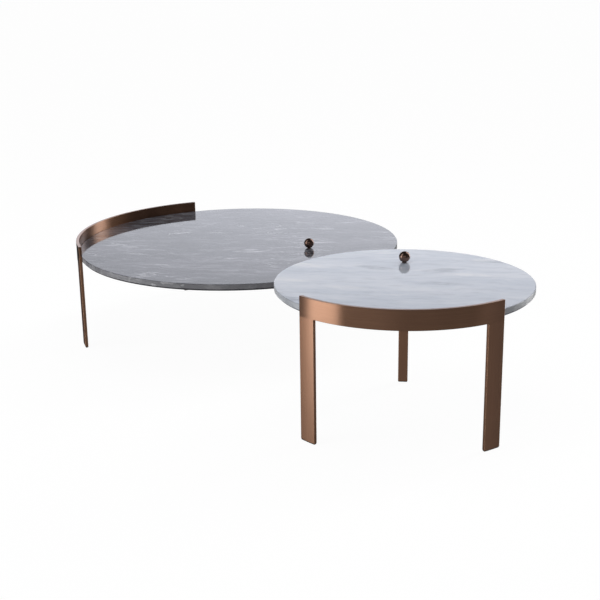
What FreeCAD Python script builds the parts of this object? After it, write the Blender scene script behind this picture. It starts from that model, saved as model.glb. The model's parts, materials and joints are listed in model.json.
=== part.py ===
import FreeCAD, Part
import math
import os
from dataclasses import dataclass

# Two round nesting tables. Each table is a marble slab carried by a rolled metal band that runs about
# a quarter of the way round its rim, by two strip legs that drop from the ends of the band, and by a
# narrower flat-bar leg on the far side, which a stud through the marble joins to a ball finial on top.
# The small table is the taller one, so its top passes over the large one when the pair is nested.
#
# Units are millimetres, +Z is up. The origin is on the floor, under the middle of the pair's box.
# Each table is first made in its own frame: centre of the top on the Z axis, middle of the band towards
# +X, rear leg towards -X. It is then turned to its facing and moved to its place.

# ---- marble tops ----
TOP_THICKNESS = 18.0
TOP_EDGE_RADIUS = 1.5        # eased upper edge
TOP_UNDER_BEVEL = 5.0        # 45 degree bevel round the lower edge

# ---- band and strip legs ----
STRIP_THICKNESS = 8.0
STRIP_EDGE_RADIUS = 0.8      # eased edges of the strip
RIM_GAP = 0.5                # between the marble's rim and the inside of the band

# ---- tabs inside the band that carry the marble ----
LUG_SPREAD = 30.0            # degrees from the middle tab to each outer tab
LUG_WIDTH = 36.0
LUG_REACH = 32.0             # how far a tab reaches in from the band
LUG_THICKNESS = 3.0
LUG_CORNER_RADIUS = 8.0
LUG_HOLE_INSET = 18.0        # from the inside of the band to the screw
PAD_MARGIN = 2.0             # a pad is this much smaller than its tab all round
PAD_THICKNESS = 1.0

# ---- rear leg, its flange, and the finial above it ----
REAR_LEG_WIDTH = 24.0
REAR_LEG_THICKNESS = 8.0
HEAD_PLATE_DIAMETER = 80.0
HEAD_PLATE_THICKNESS = 5.0
HEAD_SCREW_CIRCLE = 56.0
HEAD_SCREW_COUNT = 4
GASKET_DIAMETER = 76.0
STUD_DIAMETER = 6.0
STUD_HOLE_DIAMETER = 9.0     # clearance hole through the marble
STUD_IN_BALL = 12.0          # length of thread in the ball
BALL_DIAMETER = 28.0
BALL_FLAT_DIAMETER = 8.0     # flat that the ball stands on
WASHER_DIAMETER = 12.0
WASHER_THICKNESS = 0.8

# ---- countersunk screws and threaded inserts ----
SCREW_DIAMETER = 5.0
SCREW_HOLE_DIAMETER = 5.5
SCREW_HEAD_DIAMETER = 9.4
SCREW_HEAD_HEIGHT = 2.2
SCREW_LENGTH = 12.0
SOCKET_WIDTH = 3.0           # across flats of the hexagon socket
SOCKET_DEPTH = 1.4
INSERT_DIAMETER = 8.0
INSERT_LENGTH = 9.0
INSERT_BORE_DEPTH = 10.0     # blind hole in the marble

# ---- floor glides ----
GLIDE_THICKNESS = 2.0
GLIDE_MARGIN = 1.0           # a glide is this much smaller than its leg all round
GLIDE_CHAMFER = 0.5
GLIDE_PIN_DIAMETER = 4.0
GLIDE_PIN_LENGTH = 8.0
GLIDE_PIN_SPACING = 0.5      # distance between the two pins, as a share of the leg's width

# ---- how the pair stands ----
CENTRE_DISTANCE = 746.0      # between the two tops' centres
NEST_HEADING = 120.6         # degrees from +X: from the small table's centre to the large one's

PARTS_FOLDER = "parts"
UP = FreeCAD.Vector(0, 0, 1)


@dataclass
class Table:
    name: str
    top_radius: float
    top_height: float        # of the marble's upper face
    lip: float               # how far the band stands above the marble
    drop: float              # how far the band reaches below the marble
    band_arc: float          # degrees
    leg_width: float         # of the two strip legs
    rear_leg_distance: float # from the centre of the top
    facing: float            # degrees from +X to the middle of the band

    @property
    def marble_bottom(self):
        return self.top_height - TOP_THICKNESS

    @property
    def band_top(self):
        return self.top_height + self.lip

    @property
    def band_bottom(self):
        return self.marble_bottom - self.drop

    @property
    def band_inner_radius(self):
        return self.top_radius + RIM_GAP

    @property
    def band_outer_radius(self):
        return self.band_inner_radius + STRIP_THICKNESS

    @property
    def head_plate_top(self):
        return self.marble_bottom - PAD_THICKNESS

    @property
    def head_plate_bottom(self):
        return self.head_plate_top - HEAD_PLATE_THICKNESS


SMALL = Table("small", top_radius=300.0, top_height=314.0, lip=24.0, drop=4.0, band_arc=90.0,
              leg_width=44.0, rear_leg_distance=167.0, facing=-99.8)
LARGE = Table("large", top_radius=455.0, top_height=264.0, lip=30.0, drop=4.0, band_arc=90.0,
              leg_width=50.0, rear_leg_distance=223.0, facing=152.5)


# ---- general shapes ----

def vector(x, y, z=0.0):
    return FreeCAD.Vector(x, y, z)


def polar(radius, degrees, z=0.0):
    angle = math.radians(degrees)
    return vector(radius * math.cos(angle), radius * math.sin(angle), z)


def cylinder(diameter, height, centre):
    return Part.makeCylinder(diameter / 2, height, centre, UP)


def ring_sector(inner, outer, start, end, bottom, top):
    """Part of a ring: radii inner to outer, angles start to end in degrees, heights bottom to top."""
    middle = (start + end) / 2
    corners = [polar(inner, start, bottom), polar(outer, start, bottom),
               polar(outer, end, bottom), polar(inner, end, bottom)]
    outline = Part.Wire([
        Part.LineSegment(corners[0], corners[1]).toShape(),
        Part.Arc(corners[1], polar(outer, middle, bottom), corners[2]).toShape(),
        Part.LineSegment(corners[2], corners[3]).toShape(),
        Part.Arc(corners[3], polar(inner, middle, bottom), corners[0]).toShape(),
    ])
    return Part.Face(outline).extrude(vector(0, 0, top - bottom))


def centred_box(length, width, height, centre):
    """A box whose bottom face is centred on the given point."""
    corner = centre - vector(length / 2, width / 2)
    return Part.makeBox(length, width, height, corner)


def slab_below(size, z):
    """The space below height z, as a box that is wide enough to cut any part of a table."""
    return centred_box(size, size, size, vector(0, 0, z - size))


def edges_along_z(shape):
    return [edge for edge in shape.Edges
            if len(edge.Vertexes) == 2 and abs(edge.tangentAt(edge.FirstParameter).z) > 0.999]


# ---- where things are fixed ----

def lug_angles():
    return {"right": LUG_SPREAD, "middle": 0.0, "left": -LUG_SPREAD}


def lug_screw_centre(table, degrees, z):
    return polar(table.band_inner_radius - LUG_HOLE_INSET, degrees, z)


def lug_screw_centres(table, z):
    return [lug_screw_centre(table, degrees, z) for degrees in lug_angles().values()]


def rear_centre(table, z):
    return vector(-table.rear_leg_distance, 0, z)


def head_screw_centres(table, z):
    step = 360.0 / HEAD_SCREW_COUNT
    return [rear_centre(table, z) + polar(HEAD_SCREW_CIRCLE / 2, step * (index + 0.5))
            for index in range(HEAD_SCREW_COUNT)]


# ---- fasteners ----

def countersunk_screw(centre):
    """A screw pointing up, with the flat of its head at the given point."""
    head = Part.makeCone(SCREW_HEAD_DIAMETER / 2, SCREW_DIAMETER / 2, SCREW_HEAD_HEIGHT, centre, UP)
    shank = cylinder(SCREW_DIAMETER, SCREW_LENGTH, centre)
    corners = [centre + polar(SOCKET_WIDTH / math.sqrt(3), 60.0 * index) for index in range(7)]
    socket = Part.Face(Part.makePolygon(corners)).extrude(vector(0, 0, SOCKET_DEPTH))
    return head.fuse(shank).cut(socket).removeSplitter()


def countersunk_hole(centre, depth):
    """What is cut from a plate for a screw whose head is flush at the given point."""
    head = Part.makeCone(SCREW_HEAD_DIAMETER / 2, SCREW_DIAMETER / 2, SCREW_HEAD_HEIGHT, centre, UP)
    return head.fuse(cylinder(SCREW_HOLE_DIAMETER, depth, centre))


def threaded_insert(centre):
    body = cylinder(INSERT_DIAMETER, INSERT_LENGTH, centre)
    return body.cut(cylinder(SCREW_DIAMETER, INSERT_LENGTH, centre))


# ---- marble ----

def marble_top(table):
    """The slab, with its stud hole and the blind holes for the inserts in its lower face."""
    radius, low, high = table.top_radius, table.marble_bottom, table.top_height
    ease = TOP_EDGE_RADIUS
    arc_middle = vector(radius - ease + ease * math.sqrt(0.5), 0, high - ease + ease * math.sqrt(0.5))
    profile = Part.Wire([
        Part.makePolygon([vector(0, 0, high), vector(0, 0, low),
                          vector(radius - TOP_UNDER_BEVEL, 0, low),
                          vector(radius, 0, low + TOP_UNDER_BEVEL),
                          vector(radius, 0, high - ease)]),
        Part.Arc(vector(radius, 0, high - ease), arc_middle, vector(radius - ease, 0, high)).toShape(),
        Part.LineSegment(vector(radius - ease, 0, high), vector(0, 0, high)).toShape(),
    ])
    slab = Part.Face(profile).revolve(vector(0, 0), UP, 360)
    holes = [cylinder(STUD_HOLE_DIAMETER, TOP_THICKNESS, rear_centre(table, low))]
    for centre in lug_screw_centres(table, low) + head_screw_centres(table, low):
        holes.append(cylinder(INSERT_DIAMETER, INSERT_BORE_DEPTH, centre))
    return slab.cut(holes)


# ---- band with its strip legs ----

def leg_angle(table):
    """Degrees of the rim that one strip leg covers."""
    return math.degrees(table.leg_width / table.band_outer_radius)


def leg_middle_angle(table, side):
    """side is +1 for the right leg and -1 for the left one."""
    return side * (table.band_arc - leg_angle(table)) / 2


def glide_pin_centres(table, side, z):
    """The two pins of a strip leg's glide, in the middle of the strip's thickness."""
    radius = (table.band_inner_radius + table.band_outer_radius) / 2
    offset = leg_angle(table) * GLIDE_PIN_SPACING / 2
    middle = leg_middle_angle(table, side)
    return [polar(radius, middle - offset, z), polar(radius, middle + offset, z)]


def strip_frame(table):
    """Band and two legs as the one welded and ground strip, with eased edges."""
    inner, outer, half = table.band_inner_radius, table.band_outer_radius, table.band_arc / 2
    frame = ring_sector(inner, outer, -half, half, table.band_bottom, table.band_top)
    for side in (-1, 1):
        middle = leg_middle_angle(table, side)
        start, end = middle - leg_angle(table) / 2, middle + leg_angle(table) / 2
        frame = frame.fuse(ring_sector(inner, outer, start, end, GLIDE_THICKNESS, table.band_top))
    frame = frame.removeSplitter()
    return frame.makeFillet(STRIP_EDGE_RADIUS, frame.Edges)


def band_and_legs(table):
    """The welded strip parted at the lower edge of the band, where the legs are butt welded to it."""
    frame = strip_frame(table)
    reach = 4 * table.band_outer_radius
    below = slab_below(reach, table.band_bottom)
    pieces = {"band": frame.cut(below)}
    legs = frame.common(below)
    for name, side in (("left_leg", -1), ("right_leg", 1)):
        leg = next(solid for solid in legs.Solids if side * solid.CenterOfMass.y > 0)
        holes = [cylinder(GLIDE_PIN_DIAMETER, GLIDE_PIN_LENGTH, centre)
                 for centre in glide_pin_centres(table, side, GLIDE_THICKNESS)]
        pieces[name] = leg.cut(holes)
    return pieces


# ---- tabs and pads that carry the marble ----

def lug_blank(table, degrees, margin, bottom, thickness):
    """A tab or pad outline: round inner corners, and an outer end that follows the band."""
    outer = table.band_inner_radius - margin
    width, reach = LUG_WIDTH - 2 * margin, LUG_REACH - 2 * margin
    blank = Part.makeBox(reach + width, width, thickness, vector(outer - reach, -width / 2, bottom))
    inner_edges = [edge for edge in edges_along_z(blank) if edge.Vertexes[0].X < outer - reach / 2]
    blank = blank.makeFillet(LUG_CORNER_RADIUS - margin, inner_edges)
    blank = blank.common(cylinder(2 * outer, thickness, vector(0, 0, bottom)))
    blank.rotate(vector(0, 0), UP, degrees)
    return blank


def lugs_and_pads(table):
    pieces = {}
    for name, degrees in lug_angles().items():
        lug = lug_blank(table, degrees, 0.0, table.band_bottom, LUG_THICKNESS)
        screw_foot = lug_screw_centre(table, degrees, table.band_bottom)
        pieces[f"{name}_lug"] = lug.cut(countersunk_hole(screw_foot, LUG_THICKNESS))
        pad_bottom = table.band_bottom + LUG_THICKNESS
        pad = lug_blank(table, degrees, PAD_MARGIN, pad_bottom, PAD_THICKNESS)
        hole = cylinder(SCREW_HOLE_DIAMETER, PAD_THICKNESS, lug_screw_centre(table, degrees, pad_bottom))
        pieces[f"{name}_lug_pad"] = pad.cut(hole)
    return pieces


def lug_fasteners(table):
    screws = [countersunk_screw(centre) for centre in lug_screw_centres(table, table.band_bottom)]
    inserts = [threaded_insert(centre) for centre in lug_screw_centres(table, table.marble_bottom)]
    return {"lug_screws": Part.makeCompound(screws), "lug_inserts": Part.makeCompound(inserts)}


# ---- rear leg, its flange and the finial ----

def rear_leg(table):
    height = table.head_plate_bottom - GLIDE_THICKNESS
    bar = centred_box(REAR_LEG_THICKNESS, REAR_LEG_WIDTH, height, rear_centre(table, GLIDE_THICKNESS))
    bar = bar.makeFillet(STRIP_EDGE_RADIUS, edges_along_z(bar))
    holes = [cylinder(GLIDE_PIN_DIAMETER, GLIDE_PIN_LENGTH, centre)
             for centre in rear_pin_centres(table, GLIDE_THICKNESS)]
    return bar.cut(holes)


def rear_pin_centres(table, z):
    offset = vector(0, REAR_LEG_WIDTH * GLIDE_PIN_SPACING / 2)
    return [rear_centre(table, z) - offset, rear_centre(table, z) + offset]


def rear_head_plate(table):
    bottom = table.head_plate_bottom
    plate = cylinder(HEAD_PLATE_DIAMETER, HEAD_PLATE_THICKNESS, rear_centre(table, bottom))
    holes = [countersunk_hole(centre, HEAD_PLATE_THICKNESS) for centre in head_screw_centres(table, bottom)]
    holes.append(cylinder(STUD_DIAMETER, HEAD_PLATE_THICKNESS, rear_centre(table, bottom)))
    return plate.cut(holes)


def rear_gasket(table):
    bottom = table.head_plate_top
    disc = cylinder(GASKET_DIAMETER, PAD_THICKNESS, rear_centre(table, bottom))
    holes = [cylinder(SCREW_HOLE_DIAMETER, PAD_THICKNESS, centre)
             for centre in head_screw_centres(table, bottom)]
    holes.append(cylinder(STUD_HOLE_DIAMETER, PAD_THICKNESS, rear_centre(table, bottom)))
    return disc.cut(holes)


def rear_fasteners(table):
    screws = [countersunk_screw(centre) for centre in head_screw_centres(table, table.head_plate_bottom)]
    inserts = [threaded_insert(centre) for centre in head_screw_centres(table, table.marble_bottom)]
    return {"rear_screws": Part.makeCompound(screws), "rear_inserts": Part.makeCompound(inserts)}


def ball_foot(table):
    """Height of the flat under the ball."""
    return table.top_height + WASHER_THICKNESS


def finial_stud(table):
    length = ball_foot(table) + STUD_IN_BALL - table.head_plate_bottom
    return cylinder(STUD_DIAMETER, length, rear_centre(table, table.head_plate_bottom))


def finial_washer(table):
    centre = rear_centre(table, table.top_height)
    disc = cylinder(WASHER_DIAMETER, WASHER_THICKNESS, centre)
    return disc.cut(cylinder(STUD_DIAMETER, WASHER_THICKNESS, centre))


def ball_finial(table):
    radius = BALL_DIAMETER / 2
    centre_height = math.sqrt(radius ** 2 - (BALL_FLAT_DIAMETER / 2) ** 2)
    foot = rear_centre(table, ball_foot(table))
    ball = Part.makeSphere(radius, foot + vector(0, 0, centre_height))
    ball = ball.cut(centred_box(BALL_DIAMETER, BALL_DIAMETER, BALL_DIAMETER,
                                foot - vector(0, 0, BALL_DIAMETER)))
    return ball.cut(cylinder(STUD_DIAMETER, STUD_IN_BALL, foot))


# ---- floor glides ----

def glide(pad, pin_centres):
    lower_edges = [edge for edge in pad.Edges if edge.BoundBox.ZMax < GLIDE_THICKNESS / 2]
    solid = pad.makeChamfer(GLIDE_CHAMFER, lower_edges)
    for centre in pin_centres:
        solid = solid.fuse(cylinder(GLIDE_PIN_DIAMETER, GLIDE_PIN_LENGTH, centre))
    return solid.removeSplitter()


def glides(table):
    inner, outer = table.band_inner_radius + GLIDE_MARGIN, table.band_outer_radius - GLIDE_MARGIN
    half = (leg_angle(table) - math.degrees(2 * GLIDE_MARGIN / table.band_outer_radius)) / 2
    pieces = {}
    for name, side in (("left_glide", -1), ("right_glide", 1)):
        middle = leg_middle_angle(table, side)
        pad = ring_sector(inner, outer, middle - half, middle + half, 0.0, GLIDE_THICKNESS)
        pieces[name] = glide(pad, glide_pin_centres(table, side, GLIDE_THICKNESS))
    pad = centred_box(REAR_LEG_THICKNESS - 2 * GLIDE_MARGIN, REAR_LEG_WIDTH - 2 * GLIDE_MARGIN,
                      GLIDE_THICKNESS, rear_centre(table, 0.0))
    pieces["rear_glide"] = glide(pad, rear_pin_centres(table, GLIDE_THICKNESS))
    return pieces


# ---- one table, and the pair ----

def table_pieces(table):
    pieces = {"marble_top": marble_top(table)}
    pieces.update(band_and_legs(table))
    pieces.update(lugs_and_pads(table))
    pieces.update(lug_fasteners(table))
    pieces["rear_leg"] = rear_leg(table)
    pieces["rear_head_plate"] = rear_head_plate(table)
    pieces["rear_gasket"] = rear_gasket(table)
    pieces.update(rear_fasteners(table))
    pieces["finial_stud"] = finial_stud(table)
    pieces["finial_washer"] = finial_washer(table)
    pieces["ball_finial"] = ball_finial(table)
    pieces.update(glides(table))
    return pieces


def table_centres():
    """Where the two tables stand, so that the pair's box is centred on the origin. The box ends at the
    large band to the left, the small top to the right, the small band in front, the large top behind."""
    apart = polar(CENTRE_DISTANCE, NEST_HEADING)
    large_x = (apart.x + LARGE.band_outer_radius - SMALL.top_radius) / 2
    large_y = (apart.y + SMALL.band_outer_radius - LARGE.top_radius) / 2
    large = vector(large_x, large_y)
    return {SMALL.name: large - apart, LARGE.name: large}


def write_table(table, centre):
    placement = FreeCAD.Placement(centre, FreeCAD.Rotation(UP, table.facing))
    for piece_name, shape in table_pieces(table).items():
        placed = shape.copy()
        placed.Placement = placement.multiply(placed.Placement)
        placed.exportStep(f"{PARTS_FOLDER}/{table.name}_{piece_name}.step")
        print(f"{table.name}_{piece_name}: {placed.Volume / 1000:.2f} cm3, {len(placed.Solids)} solid(s), "
              f"valid {placed.isValid()}")


def main():
    os.makedirs(PARTS_FOLDER, exist_ok=True)
    centres = table_centres()
    for table in (SMALL, LARGE):
        write_table(table, centres[table.name])


main()
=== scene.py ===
import json
import math
import random
from dataclasses import dataclass

import bmesh
import bpy
from mathutils import Matrix, Vector


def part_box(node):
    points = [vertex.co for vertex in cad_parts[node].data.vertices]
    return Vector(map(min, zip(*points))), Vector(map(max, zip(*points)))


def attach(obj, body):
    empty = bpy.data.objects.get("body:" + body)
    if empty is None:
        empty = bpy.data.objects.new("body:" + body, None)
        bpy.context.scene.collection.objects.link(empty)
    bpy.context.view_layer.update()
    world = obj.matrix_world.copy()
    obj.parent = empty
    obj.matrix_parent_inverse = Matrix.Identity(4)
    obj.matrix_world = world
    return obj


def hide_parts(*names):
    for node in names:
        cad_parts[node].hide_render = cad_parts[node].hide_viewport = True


# Two round nesting tables: marble tops on rolled bronze bands. Metres, in the CAD's own frame.
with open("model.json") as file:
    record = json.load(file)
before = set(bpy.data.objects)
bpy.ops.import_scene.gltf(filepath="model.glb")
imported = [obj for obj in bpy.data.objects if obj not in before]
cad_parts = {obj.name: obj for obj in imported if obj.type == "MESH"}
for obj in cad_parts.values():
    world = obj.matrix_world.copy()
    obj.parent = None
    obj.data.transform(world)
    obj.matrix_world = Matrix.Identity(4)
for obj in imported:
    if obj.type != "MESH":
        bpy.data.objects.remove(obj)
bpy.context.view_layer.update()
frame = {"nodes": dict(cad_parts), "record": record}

# ---- sizes that the CAD's boxes don't give ----
STRIP_THICKNESS = 0.008
RIM_GAP = 0.0005
STRIP_EASE = 0.0008          # eased edges of the strip
STRIP_CORNER = 0.0015        # rounded corners of the strip's outline
BAND_ARC = {"small": math.radians(90), "large": math.radians(90)}
LEG_WIDTH = {"small": 0.044, "large": 0.050}
SEAM_DROP = 0.0002           # the legs' butt weld lies just under the band
TOP_EASE = 0.0015
TOP_UNDER_BEVEL = 0.005
REAR_LEG_SIZE = (0.008, 0.024)
REAR_LEG_CORNER = 0.0012
WELD_SIZE = 0.004            # fillet weld round the head of the rear leg
BALL_FLAT_RADIUS = 0.004
WASHER_EASE = 0.0002

# ---- fineness of the meshes ----
RIM_STEPS = 288
BALL_STEPS = 96
ARC_STEPS = 6
BEND_STEP = math.radians(0.8)
EASE_SEGMENTS = 3
WASHER_STEPS = 3
STAGE_STEPS = 96
SMOOTH_ANGLE = math.radians(35)    # edges sharper than this stay creased
BALL_LAST_RING = math.radians(89)  # the ball's highest ring, a hair short of its pole
CUT_TOLERANCE = 1e-7
FLAT_SHARE = 0.999                 # how near to an axis the normal of a flat face lies

# ---- camera ----
CAMERA_FROM_SMALL_TABLE = Vector((-0.380, -2.481, 1.0206))
CAMERA_PITCH = 0.2906        # radians below the horizon
CAMERA_ROLL = -0.0299
CAMERA_LENS = 66.55          # millimetres, on a 36 mm sensor
CAMERA_SHIFT = 0.1


# ---- where each table stands, read from the frame ----

@dataclass
class Table:
    name: str
    body: str
    centre: Vector           # of the top, on the floor
    facing: float            # radians from +X to the middle of the band
    top_radius: float
    marble_low: float
    marble_high: float
    band_low: float
    band_high: float
    leg_foot: float
    rear_distance: float
    rear_foot: float
    rear_head: float

    @property
    def outer_radius(self):
        return self.top_radius + RIM_GAP + STRIP_THICKNESS

    @property
    def placement(self):
        """From the table's own frame, with its band towards +X, to the row frame."""
        return Matrix.Translation(self.centre) @ Matrix.Rotation(self.facing, 4, "Z")

    @property
    def rear_placement(self):
        """The same, from a frame whose Z axis is the middle of the rear leg."""
        return self.placement @ Matrix.Translation((-self.rear_distance, 0, 0))

    def node(self, piece):
        return f"{self.name}_{piece}"


def read_table(name):
    low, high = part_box(f"{name}_marble_top")
    centre = Vector(((low.x + high.x) / 2, (low.y + high.y) / 2, 0))
    stud_low, stud_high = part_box(f"{name}_finial_stud")
    rear = (stud_low + stud_high) / 2 - centre
    rear.z = 0
    band_low, band_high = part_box(f"{name}_band")
    rear_low, rear_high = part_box(f"{name}_rear_leg")
    return Table(
        name=name, body=f"{name}_table", centre=centre,
        facing=math.atan2(-rear.y, -rear.x),
        top_radius=(high.x - low.x) / 2, marble_low=low.z, marble_high=high.z,
        band_low=band_low.z, band_high=band_high.z,
        leg_foot=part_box(f"{name}_left_leg")[0].z,
        rear_distance=rear.length, rear_foot=rear_low.z, rear_head=rear_high.z)


# ---- mesh making ----

def finish_mesh(name, bm, material):
    """An object from a bmesh, smooth with sharp creases, its normals weighted by face area."""
    bmesh.ops.recalc_face_normals(bm, faces=bm.faces)
    for face in bm.faces:
        face.smooth = True
    for edge in bm.edges:
        if len(edge.link_faces) == 2:
            edge.smooth = edge.calc_face_angle() < SMOOTH_ANGLE
    mesh = bpy.data.meshes.new(name)
    bm.to_mesh(mesh)
    bm.free()
    mesh.materials.append(material)
    piece = bpy.data.objects.new(name, mesh)
    bpy.context.scene.collection.objects.link(piece)
    normals = piece.modifiers.new("weighted normals", "WEIGHTED_NORMAL")
    normals.keep_sharp = True
    return piece


def stand_for(piece, table, node):
    """The piece rides on its table and takes the place of the CAD node."""
    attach(piece, table.body)
    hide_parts(table.node(node))
    return piece


def loft(rings, placement):
    """A closed solid through rings of points, each with as many points as the next."""
    bm = bmesh.new()
    rows = [[bm.verts.new(placement @ Vector(point)) for point in ring] for ring in rings]
    for lower, upper in zip(rows, rows[1:]):
        for index in range(len(lower)):
            after = (index + 1) % len(lower)
            bm.faces.new((lower[index], lower[after], upper[after], upper[index]))
    bm.faces.new(rows[0])
    bm.faces.new(rows[-1])
    return bm


def circle(radius, z, steps):
    return [(radius * math.cos(2 * math.pi * i / steps), radius * math.sin(2 * math.pi * i / steps), z)
            for i in range(steps)]


def quarter(centre, radius, start, steps=ARC_STEPS):
    """Points of a quarter circle in the profile's plane, turning left from start, in degrees."""
    return [(centre[0] + radius * math.cos(math.radians(start + 90 * i / steps)),
             centre[1] + radius * math.sin(math.radians(start + 90 * i / steps)))
            for i in range(steps + 1)]


def lathe(profile, placement, steps):
    return loft([circle(radius, z, steps) for radius, z in profile], placement)


def rounded_outline(corners):
    """A closed outline from (point, radius) corners, each rounded by an arc."""
    points = []
    for index, (corner, radius) in enumerate(corners):
        before = (corners[index - 1][0] - corner).normalized()
        after = (corners[(index + 1) % len(corners)][0] - corner).normalized()
        centre = corner + (before + after) * radius
        start, end = -after * radius, -before * radius
        for step in range(ARC_STEPS + 1):
            turn = math.radians(90) * step / ARC_STEPS
            points.append(centre + start * math.cos(turn) + end * math.sin(turn))
    return points


# ---- marble tops ----

def marble_top(table, material):
    radius, low, high = table.top_radius, table.marble_low, table.marble_high
    bevel, ease = TOP_UNDER_BEVEL, TOP_EASE
    profile = [(radius - bevel, low), (radius, low + bevel)]
    profile += quarter((radius - ease, high - ease), ease, 0)
    piece = finish_mesh(table.node("marble_slab"), lathe(profile, table.placement, RIM_STEPS), material)
    return stand_for(piece, table, "marble_top")


# ---- bands and strip legs ----

def strip_corners(table):
    """Corners of the strip's outline, laid flat: along the rim, then up. Anticlockwise from outside."""
    half = table.outer_radius * BAND_ARC[table.name] / 2
    width, foot = LEG_WIDTH[table.name], table.leg_foot
    low, high = table.band_low, table.band_high
    places = [(-half, foot), (-half + width, foot), (-half + width, low), (half - width, low),
              (half - width, foot), (half, foot), (half, high), (-half, high)]
    return [(Vector((u, z, 0)), STRIP_CORNER) for u, z in places]


def flat_strip(table):
    """The whole strip, flat, with eased edges: x along the rim, y up, z in through the thickness."""
    bm = bmesh.new()
    front = bm.faces.new([bm.verts.new(point) for point in rounded_outline(strip_corners(table))])
    made = bmesh.ops.extrude_face_region(bm, geom=[front])
    moved = [item for item in made["geom"] if isinstance(item, bmesh.types.BMVert)]
    bmesh.ops.translate(bm, verts=moved, vec=(0, 0, -STRIP_THICKNESS))
    rims = [edge for edge in bm.edges if abs(edge.verts[0].co.z - edge.verts[1].co.z) < STRIP_EASE / 2]
    bmesh.ops.bevel(bm, geom=rims, offset=STRIP_EASE, segments=EASE_SEGMENTS, profile=0.5, affect="EDGES")
    return bm


def cut(bm, place, direction, keep_below=False):
    """Cuts every face with a plane. With keep_below, what lies past the plane goes, and the cut is closed."""
    geometry = bm.verts[:] + bm.edges[:] + bm.faces[:]
    bmesh.ops.bisect_plane(bm, geom=geometry, plane_co=place, plane_no=direction,
                           dist=CUT_TOLERANCE, clear_outer=keep_below)
    if keep_below:
        open_edges = [edge for edge in bm.edges if edge.is_boundary]
        bmesh.ops.holes_fill(bm, edges=open_edges, sides=0)


def grain_uv(bm, upright):
    """UVs in metres, with U along the grain: round the rim on a band, up a leg."""
    layer = bm.loops.layers.uv.new("grain")
    for face in bm.faces:
        for loop in face.loops:
            along, up, through = loop.vert.co
            loop[layer].uv = (up + through, along + through) if upright else (along + through, up + through)


def mark_edges(bm):
    """An attribute that is 1 on the eased edges, where the lacquer thins, and 0 on the faces."""
    layer = bm.verts.layers.float.new("edge")
    for vertex in bm.verts:
        flat = any(is_flat(face) for face in vertex.link_faces)
        vertex[layer] = 0.0 if flat else 1.0


def is_flat(face):
    return max(abs(part) for part in face.normal) > FLAT_SHARE


def bend(bm, table):
    for vertex in bm.verts:
        along, up, through = vertex.co
        angle = along / table.outer_radius
        radius = table.outer_radius + through
        local = Vector((radius * math.cos(angle), radius * math.sin(angle), up))
        vertex.co = table.placement @ local


def strip_piece(table, node, cuts, upright, material):
    bm = flat_strip(table)
    mark_edges(bm)
    for place, direction in cuts:
        cut(bm, place, direction, keep_below=True)
    reach = max(abs(vertex.co.x) for vertex in bm.verts)
    step = table.outer_radius * BEND_STEP
    count = int(reach / step)
    for index in range(-count, count + 1):
        cut(bm, Vector((index * step, 0, 0)), Vector((1, 0, 0)))
    grain_uv(bm, upright)
    bend(bm, table)
    piece = finish_mesh(table.node(f"rolled_{node}"), bm, material)
    return stand_for(piece, table, node)


def band_and_legs(table, material):
    seam = Vector((0, table.band_low - SEAM_DROP, 0))
    middle = Vector((0, 0, 0))
    up, along = Vector((0, 1, 0)), Vector((1, 0, 0))
    strip_piece(table, "band", [(seam, -up)], False, material)
    strip_piece(table, "left_leg", [(seam, up), (middle, along)], True, material)
    strip_piece(table, "right_leg", [(seam, up), (middle, -along)], True, material)


# ---- rear leg ----

def bar_ring(grow, z):
    """Section of the rear leg's bar, grown all round, at one height."""
    half_x, half_y = (size / 2 + grow for size in REAR_LEG_SIZE)
    corner = REAR_LEG_CORNER + max(grow, 0)
    places = [(-half_x, -half_y), (half_x, -half_y), (half_x, half_y), (-half_x, half_y)]
    outline = rounded_outline([(Vector((x, y, 0)), corner) for x, y in places])
    return [(point.x, point.y, z) for point in outline]


def rear_leg(table, material):
    foot, head = table.rear_foot, table.rear_head
    rings = [bar_ring(-STRIP_EASE / 2, foot), bar_ring(0, foot + STRIP_EASE)]
    for step in range(ARC_STEPS + 1):
        turn = math.radians(90) * step / ARC_STEPS
        grow = WELD_SIZE * (1 - math.cos(turn))
        rings.append(bar_ring(grow, head - WELD_SIZE * (1 - math.sin(turn))))
    placement = table.rear_placement
    bm = loft(rings, placement)
    layer = bm.loops.layers.uv.new("grain")
    inverse = placement.inverted()
    for face in bm.faces:
        for loop in face.loops:
            local = inverse @ loop.vert.co
            loop[layer].uv = (local.z, local.x + local.y)
    piece = finish_mesh(table.node("rear_bar"), bm, material)
    return stand_for(piece, table, "rear_leg")


# ---- ball finial and its washer ----

def ball_finial(table, material):
    low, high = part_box(table.node("ball_finial"))
    radius = (high.x - low.x) / 2
    middle = high.z - radius
    first = -math.acos(BALL_FLAT_RADIUS / radius)
    steps = BALL_STEPS // 2
    profile = []
    for index in range(steps + 1):
        rise = first + (BALL_LAST_RING - first) * index / steps
        profile.append((radius * math.cos(rise), middle + radius * math.sin(rise)))
    placement = table.rear_placement
    piece = finish_mesh(table.node("turned_ball"), lathe(profile, placement, BALL_STEPS), material)
    return stand_for(piece, table, "ball_finial")


def finial_washer(table, material):
    low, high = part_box(table.node("finial_washer"))
    radius = (high.x - low.x) / 2
    ease = WASHER_EASE
    profile = quarter((radius - ease, low.z + ease), ease, -90, WASHER_STEPS)
    profile += quarter((radius - ease, high.z - ease), ease, 0, WASHER_STEPS)
    placement = table.rear_placement
    piece = finish_mesh(table.node("eased_washer"), lathe(profile, placement, BALL_STEPS), material)
    return stand_for(piece, table, "finial_washer")


# ---- materials ----

MIDDLE = (0.3, 0.7)              # where most of a noise's values lie


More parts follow.
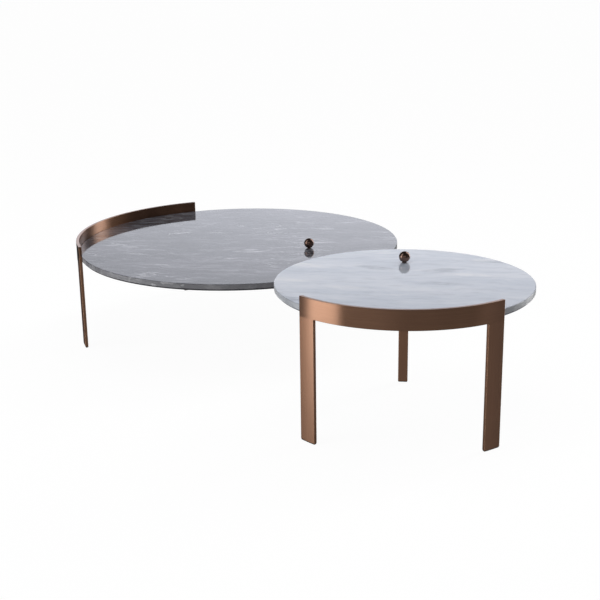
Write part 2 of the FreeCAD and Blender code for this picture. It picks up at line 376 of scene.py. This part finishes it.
class Shader:
    """A new material and short calls to add its nodes."""

    def __init__(self, name):
        self.material = bpy.data.materials.new(name)
        self.material.use_nodes = True
        self.tree = self.material.node_tree
        self.surface = next(node for node in self.tree.nodes if node.type == "BSDF_PRINCIPLED")

    def add(self, kind, inputs=None, **settings):
        """A node. An input that is another node's socket is linked, and any other is set."""
        node = self.tree.nodes.new(f"ShaderNode{kind}")
        for key, value in settings.items():
            setattr(node, key, value)
        for key, value in (inputs or {}).items():
            self.put(node.inputs[key], value)
        return node

    def put(self, socket, value):
        if isinstance(value, bpy.types.NodeSocket):
            self.tree.links.new(value, socket)
        else:
            socket.default_value = value

    def set(self, **sockets):
        """Sets or links the surface's own sockets: base_color is its Base Color."""
        for key, value in sockets.items():
            name = key.replace("_", " ").title().replace("Ior", "IOR")
            self.put(self.surface.inputs[name], value)

    def place(self):
        """Object coordinates, in metres."""
        return self.add("TexCoord").outputs["Object"]

    def scaled(self, vector, scale):
        return self.add("Mapping", {"Vector": vector, "Scale": scale}).outputs["Vector"]

    def grain(self, scale):
        """The strip's own UVs, in metres, scaled."""
        return self.scaled(self.add("UVMap", uv_map="grain").outputs["UV"], scale)

    def noise(self, vector, scale, detail):
        return self.add("TexNoise", {"Vector": vector, "Scale": scale, "Detail": detail}).outputs["Fac"]

    def map_range(self, value, low, high, to_low=0.0, to_high=1.0):
        return self.add("MapRange", {"Value": value, "From Min": low, "From Max": high,
                                     "To Min": to_low, "To Max": to_high}).outputs["Result"]

    def math(self, operation, first, second=0.0):
        return self.add("Math", {0: first, 1: second}, operation=operation).outputs["Value"]

    def mix(self, share, first, second):
        node = self.add("Mix", data_type="RGBA")
        self.put(node.inputs["Factor"], share)
        self.put(node.inputs[6], first)
        self.put(node.inputs[7], second)
        return node.outputs[2]

    def blend(self, share, first, second):
        """A number between two others."""
        return self.add("Mix", {"Factor": share, 2: first, 3: second}, data_type="FLOAT").outputs[0]

    def vector(self, operation, first, second):
        return self.add("VectorMath", {0: first, 1: second}, operation=operation).outputs["Vector"]

    def times(self, vector, number):
        return self.add("VectorMath", {0: vector, "Scale": number}, operation="SCALE").outputs["Vector"]

    def turned(self, vector, angle):
        """The vector turned about Z, in radians."""
        return self.add("VectorRotate", {"Vector": vector, "Angle": angle},
                        rotation_type="Z_AXIS").outputs["Vector"]

    def bump(self, height, strength, distance):
        normal = self.add("Bump", {"Height": height, "Strength": strength, "Distance": distance})
        self.set(normal=normal.outputs["Normal"])


@dataclass
class Stroke:
    """A soft stroke of vein. Place and half sizes in metres from the top's centre, turn in degrees."""
    across: float
    away: float
    half_length: float
    half_width: float
    turn: float
    strength: float


@dataclass
class Scatter:
    """Strokes of vein spread at random over a top. A pair is the least and the most, lengths in metres."""
    count: int
    half_length: tuple
    half_width: tuple
    strength: tuple
    draw: int                # seed of the random draw


@dataclass
class Stone:
    base: tuple
    cloud: tuple
    light: tuple             # colour of the light strokes
    dark: tuple              # and of the dark ones
    vein_share: float        # how strongly the fine veins show
    wisp_shares: tuple       # and the light and the dark wisps
    seed: float
    light_strokes: Scatter
    dark_strokes: Scatter


GREY_STONE = Stone(
    base=(0.082, 0.081, 0.097, 1), cloud=(0.155, 0.152, 0.178, 1), light=(0.80, 0.80, 0.86, 1),
    dark=(0.035, 0.035, 0.042, 1), vein_share=0.55, wisp_shares=(0.20, 0.45), seed=3.0,
    light_strokes=Scatter(count=15, half_length=(0.02, 0.06), half_width=(0.007, 0.013),
                          strength=(0.3, 0.8), draw=11),
    dark_strokes=Scatter(count=8, half_length=(0.05, 0.12), half_width=(0.012, 0.045),
                         strength=(0.5, 0.8), draw=2))
PALE_STONE = Stone(
    base=(0.62, 0.68, 0.785, 1), cloud=(0.785, 0.825, 0.91, 1), light=(0.95, 0.96, 1.0, 1),
    dark=(0.30, 0.33, 0.40, 1), vein_share=0.25, wisp_shares=(0.25, 0.22), seed=7.0,
    light_strokes=Scatter(count=7, half_length=(0.04, 0.09), half_width=(0.018, 0.024),
                          strength=(0.6, 1.0), draw=3),
    dark_strokes=Scatter(count=7, half_length=(0.04, 0.08), half_width=(0.010, 0.024),
                         strength=(0.5, 0.9), draw=4))
BEDDING = math.radians(-12)      # the stone's layers run nearly along X
STROKE_SPREAD = 9.0              # degrees by which the strokes leave the bedding
HONED_AND_LIT_GAMMA = 0.47               # honed or sawn stone is paler than the same stone polished, and the rim is pushed paler still as painted light

# Scales are per metre. A pair of edges is where a noise starts to show and where it shows in full.
LAYER_STRETCH = (2.2, 8.0, 5.0)  # the layers are long along X and thin across it
LAYER_WANDER = (6.0, 0.10)       # scale and reach, in metres, of the swirl in them
CLOUD_SCALE, CLOUD_DETAIL, CLOUD_EDGES = 1.6, 5.0, (0.40, 0.62)
WISP_SCALE, WISP_DETAIL = 7.0, 6.0
LIGHT_WISP_EDGES = (0.52, 0.70)
DARK_WISP_EDGES = (0.48, 0.32)
CRYSTAL_SCALE, CRYSTAL_DETAIL, CRYSTAL_EDGES, CRYSTAL_SHARE = 900.0, 2.0, (0.45, 0.75), 0.10
VEIN_SCALE, VEIN_DETAIL, VEIN_WIDTH = 2.4, 7.0, 0.020
PATCH_SCALE, PATCH_DETAIL, PATCH_EDGES = 4.0, 3.0, (0.50, 0.62)
STROKE_CORE = 0.35               # the middle share of a stroke that shows in full
STROKE_WANDER = (28.0, 0.014)
BREAK_SCALE, BREAK_DETAIL, BREAK_EDGES, BREAK_LEAST = 12.0, 6.0, (0.38, 0.56), 0.35
SAWN_EDGES = (-0.9, -0.95)       # upward part of the normal: only the underside is sawn
SMEAR_SCALE, SMEAR_DETAIL = 14.0, 3.0
POLISHED_ROUGHNESS = (0.035, 0.075)
HONED_ROUGHNESS = 0.45
SAWN_ROUGHNESS = 0.55
SAW_MARKS = (600, 12, 12)
SAW_STRENGTH, SAW_DEPTH = 0.3, 0.0002


def scattered(table, scatter):
    """Strokes all over the top, each turned only a little from the stone's bedding."""
    draw = random.Random(scatter.draw)
    strokes = []
    for _ in range(scatter.count):
        reach = table.top_radius * math.sqrt(draw.random())
        heading = draw.uniform(0, math.tau)
        strokes.append(Stroke(
            across=reach * math.cos(heading), away=reach * math.sin(heading),
            half_length=draw.uniform(*scatter.half_length), half_width=draw.uniform(*scatter.half_width),
            turn=math.degrees(BEDDING) + draw.gauss(0, STROKE_SPREAD),
            strength=draw.uniform(*scatter.strength)))
    return strokes


def stroke_mask(shader, place, stroke):
    moved = shader.vector("SUBTRACT", place, (stroke.across, stroke.away, 0))
    turned = shader.turned(moved, -math.radians(stroke.turn))
    scaled = shader.vector("MULTIPLY", turned, (1 / stroke.half_length, 1 / stroke.half_width, 0))
    reach = shader.add("VectorMath", {0: scaled}, operation="LENGTH").outputs["Value"]
    return shader.map_range(reach, STROKE_CORE, 1.0, stroke.strength, 0.0)


def strokes_mask(shader, place, strokes, broken):
    total = 0.0
    for stroke in strokes:
        total = shader.math("MAXIMUM", stroke_mask(shader, place, stroke), total)
    return shader.math("MULTIPLY", total, broken)


def wandering(shader, place, scale, reach):
    """The place, moved about by a noise of the given scale, by at most about half the reach."""
    swirl = shader.add("TexNoise", {"Vector": place, "Scale": scale, "Detail": 5.0}).outputs["Color"]
    level = shader.vector("SUBTRACT", swirl, (0.5, 0.5, 0.5))
    return shader.vector("ADD", place, shader.times(level, reach))


def marble_colour(shader, table, stone):
    """Clouds, wisps and fine veins along the bedding, then the soft strokes."""
    coordinates = shader.place()
    from_centre = shader.vector("SUBTRACT", coordinates, tuple(table.centre))
    seeded = shader.vector("ADD", from_centre, (stone.seed, 2 * stone.seed, 0))
    bedded = shader.turned(wandering(shader, seeded, *LAYER_WANDER), -BEDDING)
    layered = shader.scaled(bedded, LAYER_STRETCH)

    clouds = shader.noise(layered, CLOUD_SCALE, CLOUD_DETAIL)
    colour = shader.mix(shader.map_range(clouds, *CLOUD_EDGES), stone.base, stone.cloud)
    wisps = shader.noise(layered, WISP_SCALE, WISP_DETAIL)
    light_share, dark_share = stone.wisp_shares
    colour = shader.mix(shader.map_range(wisps, *LIGHT_WISP_EDGES, 0.0, light_share), colour, stone.light)
    colour = shader.mix(shader.map_range(wisps, *DARK_WISP_EDGES, 0.0, dark_share), colour, stone.dark)
    crystals = shader.noise(coordinates, CRYSTAL_SCALE, CRYSTAL_DETAIL)
    colour = shader.mix(shader.map_range(crystals, *CRYSTAL_EDGES, 0.0, CRYSTAL_SHARE), colour, stone.light)

    # a fine vein runs wherever this noise passes its middle value, and only in patches
    level = shader.math("SUBTRACT", shader.noise(layered, VEIN_SCALE, VEIN_DETAIL), 0.5)
    lines = shader.map_range(shader.math("ABSOLUTE", level), 0.0, VEIN_WIDTH, stone.vein_share, 0.0)
    patches = shader.map_range(shader.noise(seeded, PATCH_SCALE, PATCH_DETAIL), *PATCH_EDGES)
    colour = shader.mix(shader.math("MULTIPLY", lines, patches), colour, stone.light)

    near = wandering(shader, from_centre, *STROKE_WANDER)
    breaks = shader.noise(layered, BREAK_SCALE, BREAK_DETAIL)
    broken = shader.map_range(breaks, *BREAK_EDGES, BREAK_LEAST, 1.0)
    for scatter, tone in ((stone.dark_strokes, stone.dark), (stone.light_strokes, stone.light)):
        strokes = scattered(table, scatter)
        colour = shader.mix(strokes_mask(shader, near, strokes, broken), colour, tone)
    return colour


def marble(name, table, stone):
    """Polished on top, honed round the rim, sawn underneath."""
    shader = Shader(name)
    coordinates = shader.place()
    colour = marble_colour(shader, table, stone)

    normal = shader.add("NewGeometry").outputs["True Normal"]
    upward = shader.add("SeparateXYZ", {"Vector": normal}).outputs["Z"]
    rim = shader.math("COMPARE", upward, 0.0)
    sawn = shader.map_range(upward, *SAWN_EDGES)
    # partly painted light: rim and underside take a paler copy of the stone, partly because honed and sawn
    # stone is paler, partly to paint in the light that falls on the rim
    honed_and_lit = shader.add("Gamma", {"Color": colour, "Gamma": HONED_AND_LIT_GAMMA}).outputs["Color"]
    smears = shader.noise(coordinates, SMEAR_SCALE, SMEAR_DETAIL)
    polished = shader.map_range(smears, *MIDDLE, *POLISHED_ROUGHNESS)
    roughness = shader.blend(sawn, shader.blend(rim, polished, HONED_ROUGHNESS), SAWN_ROUGHNESS)
    shader.set(base_color=shader.mix(shader.math("MAXIMUM", rim, sawn), colour, honed_and_lit), roughness=roughness)

    saw_marks = shader.noise(shader.scaled(coordinates, SAW_MARKS), 1.0, 2.0)
    shader.bump(shader.math("MULTIPLY", saw_marks, sawn), SAW_STRENGTH, SAW_DEPTH)
    return shader.material


BRONZE = (0.38, 0.205, 0.125, 1)
BRONZE_DARK = (0.25, 0.125, 0.075, 1)
BRONZE_WORN = (0.50, 0.29, 0.185, 1)
BALL_BRONZE = (0.24, 0.135, 0.100, 1)
BALL_BRONZE_DARK = (0.16, 0.085, 0.060, 1)
FINE_GRAIN = (5.0, 2600.0, 1.0)      # cycles per metre along and across the brushing
COARSE_GRAIN = (1.5, 420.0, 1.0)
PATINA_SCALE = 9.0
FINE_SHARE, COARSE_SHARE, PATINA_SHARE = 0.45, 0.25, 0.3    # how far each darkens the bronze
COARSE_EDGES = (0.35, 0.75)
PATINA_EDGES = (0.4, 0.75)
WORN_SHARE = 0.6
BRUSHED_ROUGHNESS = (0.26, 0.34)
BRUSHED_ANISOTROPY = 0.75
QUARTER_TURN = 0.25                  # so that highlights stretch across the brushing
LACQUER_COAT, LACQUER_ROUGHNESS = 0.35, 0.2
BRUSHED_STRENGTH, BRUSHED_DEPTH = 0.12, 0.00002
BALL_SMEAR_SCALE, BALL_SMEAR_EDGES, BALL_SMEAR_SHARE = 120.0, (0.35, 0.7), 0.4
BALL_ROUGHNESS = (0.06, 0.13)
BALL_COAT_ROUGHNESS = 0.04
BALL_STRENGTH, BALL_DEPTH = 0.1, 0.00001
BALL_TURNING = (8, 8, 2200)          # fine turning lines round the axis


def brushed_bronze():
    """Bronze brushed along U of its grain UVs, under a thin lacquer, brighter where the edges are eased."""
    shader = Shader("brushed bronze")
    fine = shader.noise(shader.grain(FINE_GRAIN), 1.0, 3.0)
    coarse = shader.noise(shader.grain(COARSE_GRAIN), 1.0, 2.0)
    patina = shader.noise(shader.place(), PATINA_SCALE, 4.0)
    tone = shader.mix(shader.map_range(fine, *MIDDLE, 0.0, FINE_SHARE), BRONZE, BRONZE_DARK)
    tone = shader.mix(shader.map_range(coarse, *COARSE_EDGES, 0.0, COARSE_SHARE), tone, BRONZE_DARK)
    tone = shader.mix(shader.map_range(patina, *PATINA_EDGES, 0.0, PATINA_SHARE), tone, BRONZE_DARK)
    edge = shader.add("Attribute", attribute_name="edge").outputs["Fac"]
    tone = shader.mix(shader.math("MULTIPLY", edge, WORN_SHARE), tone, BRONZE_WORN)
    tangent = shader.add("Tangent", direction_type="UV_MAP", uv_map="grain").outputs["Tangent"]
    shader.set(base_color=tone, metallic=1.0, tangent=tangent,
               anisotropic=BRUSHED_ANISOTROPY, anisotropic_rotation=QUARTER_TURN,
               roughness=shader.map_range(fine, *MIDDLE, *BRUSHED_ROUGHNESS),
               coat_weight=LACQUER_COAT, coat_roughness=LACQUER_ROUGHNESS)
    shader.bump(fine, BRUSHED_STRENGTH, BRUSHED_DEPTH)
    return shader.material


def polished_bronze():
    """The turned ball: fine turning lines round its axis, and a few finger smears."""
    shader = Shader("polished bronze")
    lines = shader.noise(shader.scaled(shader.place(), BALL_TURNING), 1.0, 2.0)
    smears = shader.noise(shader.place(), BALL_SMEAR_SCALE, 3.0)
    darker = shader.map_range(smears, *BALL_SMEAR_EDGES, 0.0, BALL_SMEAR_SHARE)
    shader.set(base_color=shader.mix(darker, BALL_BRONZE, BALL_BRONZE_DARK), metallic=1.0,
               roughness=shader.map_range(smears, *MIDDLE, *BALL_ROUGHNESS),
               coat_weight=1.0, coat_roughness=BALL_COAT_ROUGHNESS)
    shader.bump(lines, BALL_STRENGTH, BALL_DEPTH)
    return shader.material


LACQUER = (0.030, 0.024, 0.020, 1)
LACQUER_PEEL = (0.042, 0.034, 0.028, 1)
PEEL_SCALE = 700.0
SATIN_ROUGHNESS = (0.36, 0.48)
SATIN_COAT, SATIN_COAT_ROUGHNESS = 0.2, 0.3
PEEL_STRENGTH, PEEL_DEPTH = 0.25, 0.00005


def satin_lacquer():
    """Dark lacquer on the hidden steel: tabs and flanges."""
    shader = Shader("satin dark lacquer")
    peel = shader.noise(shader.place(), PEEL_SCALE, 2.0)
    shader.set(base_color=shader.mix(shader.map_range(peel, *MIDDLE), LACQUER, LACQUER_PEEL),
               roughness=shader.map_range(peel, *MIDDLE, *SATIN_ROUGHNESS),
               coat_weight=SATIN_COAT, coat_roughness=SATIN_COAT_ROUGHNESS)
    shader.bump(peel, PEEL_STRENGTH, PEEL_DEPTH)
    return shader.material


ZINC = (0.62, 0.63, 0.66, 1)
ZINC_BLOOM = (0.50, 0.51, 0.50, 1)
BLOOM_SCALE, BLOOM_EDGES = 260.0, (0.35, 0.7)
ZINC_ROUGHNESS = (0.2, 0.38)


def bright_zinc():
    shader = Shader("bright zinc")
    bloom = shader.noise(shader.place(), BLOOM_SCALE, 4.0)
    shader.set(base_color=shader.mix(shader.map_range(bloom, *BLOOM_EDGES), ZINC, ZINC_BLOOM), metallic=1.0,
               roughness=shader.map_range(bloom, *MIDDLE, *ZINC_ROUGHNESS))
    return shader.material


BRASS = (0.72, 0.50, 0.20, 1)
BRASS_DARK = (0.56, 0.38, 0.15, 1)
BRASS_TURNING = (10, 10, 3000)
BRASS_ROUGHNESS = (0.22, 0.34)


def turned_brass():
    shader = Shader("turned brass")
    lines = shader.noise(shader.scaled(shader.place(), BRASS_TURNING), 1.0, 2.0)
    shader.set(base_color=shader.mix(shader.map_range(lines, *MIDDLE), BRASS, BRASS_DARK), metallic=1.0,
               roughness=shader.map_range(lines, *MIDDLE, *BRASS_ROUGHNESS))
    return shader.material


RUBBER = (0.016, 0.016, 0.017, 1)
RUBBER_DUST = (0.040, 0.038, 0.036, 1)
DUST_SCALE, DUST_EDGES = 500.0, (0.4, 0.8)
RUBBER_ROUGHNESS = (0.7, 0.9)
RUBBER_STRENGTH, RUBBER_DEPTH = 0.3, 0.0001


def matt_rubber():
    shader = Shader("matt rubber")
    dust = shader.noise(shader.place(), DUST_SCALE, 4.0)
    shader.set(base_color=shader.mix(shader.map_range(dust, *DUST_EDGES), RUBBER, RUBBER_DUST),
               roughness=shader.map_range(dust, *MIDDLE, *RUBBER_ROUGHNESS))
    shader.bump(dust, RUBBER_STRENGTH, RUBBER_DEPTH)
    return shader.material


NYLON = (0.020, 0.020, 0.021, 1)
NYLON_SPARKED = (0.032, 0.031, 0.031, 1)
SPARK_SCALE = 1400.0
NYLON_ROUGHNESS = (0.42, 0.58)
SPARK_STRENGTH, SPARK_DEPTH = 0.3, 0.00003


def moulded_nylon():
    """Nylon from a spark-eroded mould."""
    shader = Shader("moulded nylon")
    spark = shader.noise(shader.place(), SPARK_SCALE, 2.0)
    shader.set(base_color=shader.mix(shader.map_range(spark, *MIDDLE), NYLON, NYLON_SPARKED),
               roughness=shader.map_range(spark, *MIDDLE, *NYLON_ROUGHNESS))
    shader.bump(spark, SPARK_STRENGTH, SPARK_DEPTH)
    return shader.material


def dress_cad_nodes(materials):
    """Each CAD node that stays gets the material of its slot."""
    for row in frame["record"]["subparts"]:
        node = frame["nodes"][row["node"]]
        material = materials[row["material_slot"]]
        node.data.materials.clear()
        node.data.materials.append(material)


# ---- stage ----

STAGE_RADIUS = 60.0
STAGE_WALL = 40.0
STAGE_GREY = (0.10, 0.10, 0.10, 1)
STAGE_GLOW = 0.955


def stage():
    """Pale floor and a wall far behind it, nearly self-lit, so that the ground stays white all round.
    Only the camera sees them, so the tables mirror the world's panels instead."""
    bm = bmesh.new()
    bmesh.ops.create_circle(bm, cap_ends=True, radius=STAGE_RADIUS, segments=STAGE_STEPS)
    rim = [edge for edge in bm.edges if edge.is_boundary]
    wall = bmesh.ops.extrude_edge_only(bm, edges=rim)["geom"]
    bmesh.ops.translate(bm, verts=[item for item in wall if isinstance(item, bmesh.types.BMVert)],
                        vec=(0, 0, STAGE_WALL))
    mesh = bpy.data.meshes.new("stage")
    bm.to_mesh(mesh)
    bm.free()
    piece = bpy.data.objects.new("stage", mesh)
    bpy.context.scene.collection.objects.link(piece)
    shader = Shader("pale stage")
    shader.set(base_color=STAGE_GREY, roughness=1.0, specular_ior_level=0.0,
               emission_color=(1, 1, 1, 1), emission_strength=STAGE_GLOW)
    mesh.materials.append(shader.material)
    piece.visible_diffuse = False
    piece.visible_glossy = False
    piece.visible_shadow = False


@dataclass
class Panel:
    """A soft panel of light on the studio's wall. Degrees: azimuth from +X, elevation from level."""
    azimuth: float
    half_width: float
    fade_before: float       # softness of the edge with the lower azimuth
    fade_after: float        # and of the other edge
    low: float
    high: float
    fade_low: float
    fade_high: float
    radiance: float
    tint: tuple = (1.0, 1.0, 1.0)


COOL = (0.96, 0.99, 1.09)
PANELS = (
    # the wall behind the tables, brightest to the right: what the polished tops mirror
    Panel(azimuth=75, half_width=4, fade_before=10, fade_after=58, low=3, high=11, fade_low=5, fade_high=21,
          radiance=1.46, tint=COOL),
    # the low softbox on the left, with a sharp front edge, and a dimmer one above it
    Panel(azimuth=193, half_width=13, fade_before=8, fade_after=2, low=-19, high=0, fade_low=5, fade_high=10,
          radiance=3.1),
    Panel(azimuth=193, half_width=13, fade_before=8, fade_after=2, low=8, high=54, fade_low=10, fade_high=14,
          radiance=1.1),
    # its cool spill on the wall further back
    Panel(azimuth=168, half_width=8, fade_before=10, fade_after=10, low=-40, high=0, fade_low=6, fade_high=12,
          radiance=0.20, tint=COOL),
    # the narrow softbox on the right, behind, and its warm spill
    Panel(azimuth=36, half_width=5, fade_before=6, fade_after=6, low=-22, high=50, fade_low=5, fade_high=14,
          radiance=3.9),
    Panel(azimuth=15, half_width=7, fade_before=8, fade_after=8, low=4, high=22, fade_low=6, fade_high=10,
          radiance=0.24, tint=(1.1, 0.95, 0.8)),
    Panel(azimuth=-38, half_width=7, fade_before=8, fade_after=8, low=4, high=22, fade_low=6, fade_high=10,
          radiance=0.07),
    # the dim front half of the room, low and high
    Panel(azimuth=262, half_width=46, fade_before=14, fade_after=50, low=-34, high=-6, fade_low=10,
          fade_high=6, radiance=0.24),
    Panel(azimuth=228, half_width=10, fade_before=12, fade_after=30, low=-34, high=-6, fade_low=10,
          fade_high=6, radiance=0.14),
    Panel(azimuth=-14, half_width=10, fade_before=16, fade_after=12, low=-35, high=-6, fade_low=6,
          fade_high=6, radiance=0.21, tint=(1.0, 0.98, 1.0)),
    Panel(azimuth=255, half_width=28, fade_before=20, fade_after=14, low=6, high=24, fade_low=5, fade_high=12,
          radiance=0.30),
)
LOWER_WORLD = 0.03
UPPER_WORLD = 0.06
HORIZON = (-2.0, 12.0)           # elevations between which the one turns into the other
OVERHEAD_SIZE = 2.4
OVERHEAD_HEIGHT = 3.0
OVERHEAD_POWER = 18.0
SENSOR_WIDTH = 36.0


class WorldShader(Shader):
    """The same short calls on the world's node tree."""

    def __init__(self, name):
        world = bpy.data.worlds.new(name)
        bpy.context.scene.world = world
        world.use_nodes = True
        self.tree = world.node_tree
        self.surface = next(node for node in self.tree.nodes if node.type == "BACKGROUND")

    def window(self, value, low, high, fade_low, fade_high):
        """1 between low and high, falling smoothly to 0 outside."""
        rise = self.add("MapRange", {"Value": value, "From Min": low - fade_low, "From Max": low},
                        interpolation_type="SMOOTHSTEP").outputs["Result"]
        fall = self.add("MapRange", {"Value": value, "From Min": high + fade_high, "From Max": high},
                        interpolation_type="SMOOTHSTEP").outputs["Result"]
        return self.math("MULTIPLY", rise, fall)


def world_light():
    shader = WorldShader("studio")
    direction = shader.add("TexCoord").outputs["Generated"]
    height = shader.add("SeparateXYZ", {"Vector": direction}).outputs["Z"]
    elevation = shader.math("DEGREES", shader.math("ARCSINE", height))
    total = shader.map_range(elevation, *HORIZON, LOWER_WORLD, UPPER_WORLD)
    for panel in PANELS:
        turned = shader.turned(direction, -math.radians(panel.azimuth))
        parts = shader.add("SeparateXYZ", {"Vector": turned}).outputs
        azimuth = shader.math("DEGREES", shader.math("ARCTAN2", parts["Y"], parts["X"]))
        across = shader.window(azimuth, -panel.half_width, panel.half_width,
                               panel.fade_before, panel.fade_after)
        upward = shader.window(elevation, panel.low, panel.high, panel.fade_low, panel.fade_high)
        share = shader.math("MULTIPLY", across, upward)
        glow = [panel.radiance * part for part in panel.tint]
        total = shader.vector("ADD", total, shader.times(glow, share))
    shader.set(color=total, strength=1.0)


def overhead_light():
    light = bpy.data.lights.new("overhead softbox", "AREA")
    light.shape = "RECTANGLE"
    light.size = light.size_y = OVERHEAD_SIZE
    light.energy = OVERHEAD_POWER
    lamp = bpy.data.objects.new("overhead softbox", light)
    bpy.context.scene.collection.objects.link(lamp)
    lamp.location = (0, 0, OVERHEAD_HEIGHT)
    lamp.visible_camera = False
    lamp.visible_glossy = False        # polished metal mirrors the panels, not the lamp


def studio_camera(small_table):
    data = bpy.data.cameras.new("camera")
    data.lens = CAMERA_LENS
    data.sensor_width = SENSOR_WIDTH
    data.sensor_fit = "HORIZONTAL"
    data.shift_x = CAMERA_SHIFT
    data.clip_end = 200.0
    camera = bpy.data.objects.new("camera", data)
    bpy.context.scene.collection.objects.link(camera)
    level = Matrix.Rotation(math.radians(90) - CAMERA_PITCH, 4, "X")
    roll = Matrix.Rotation(CAMERA_ROLL, 4, "Z")
    place = small_table.centre + CAMERA_FROM_SMALL_TABLE
    camera.matrix_world = Matrix.Translation(place) @ level @ roll
    bpy.context.scene.camera = camera


# ---- the scene ----


bpy.context.scene.view_settings.view_transform = "Standard"
tables = {name: read_table(name) for name in ("large", "small")}
bronze = brushed_bronze()
ball_bronze = polished_bronze()
marbles = {"large": marble("grey marble", tables["large"], GREY_STONE),
           "small": marble("pale marble", tables["small"], PALE_STONE)}
for name, table in tables.items():
    marble_top(table, marbles[name])
    band_and_legs(table, bronze)
    rear_leg(table, bronze)
    ball_finial(table, ball_bronze)
    finial_washer(table, ball_bronze)
dress_cad_nodes({
    "marble_large": marbles["large"], "marble_small": marbles["small"],
    "bronze_strip": bronze, "ball_brass": ball_bronze,
    "plated_steel": satin_lacquer(), "zinc_fastener": bright_zinc(), "insert_brass": turned_brass(),
    "pad_rubber": matt_rubber(), "glide_nylon": moulded_nylon()})

stage()
overhead_light()
world_light()
studio_camera(tables["small"])
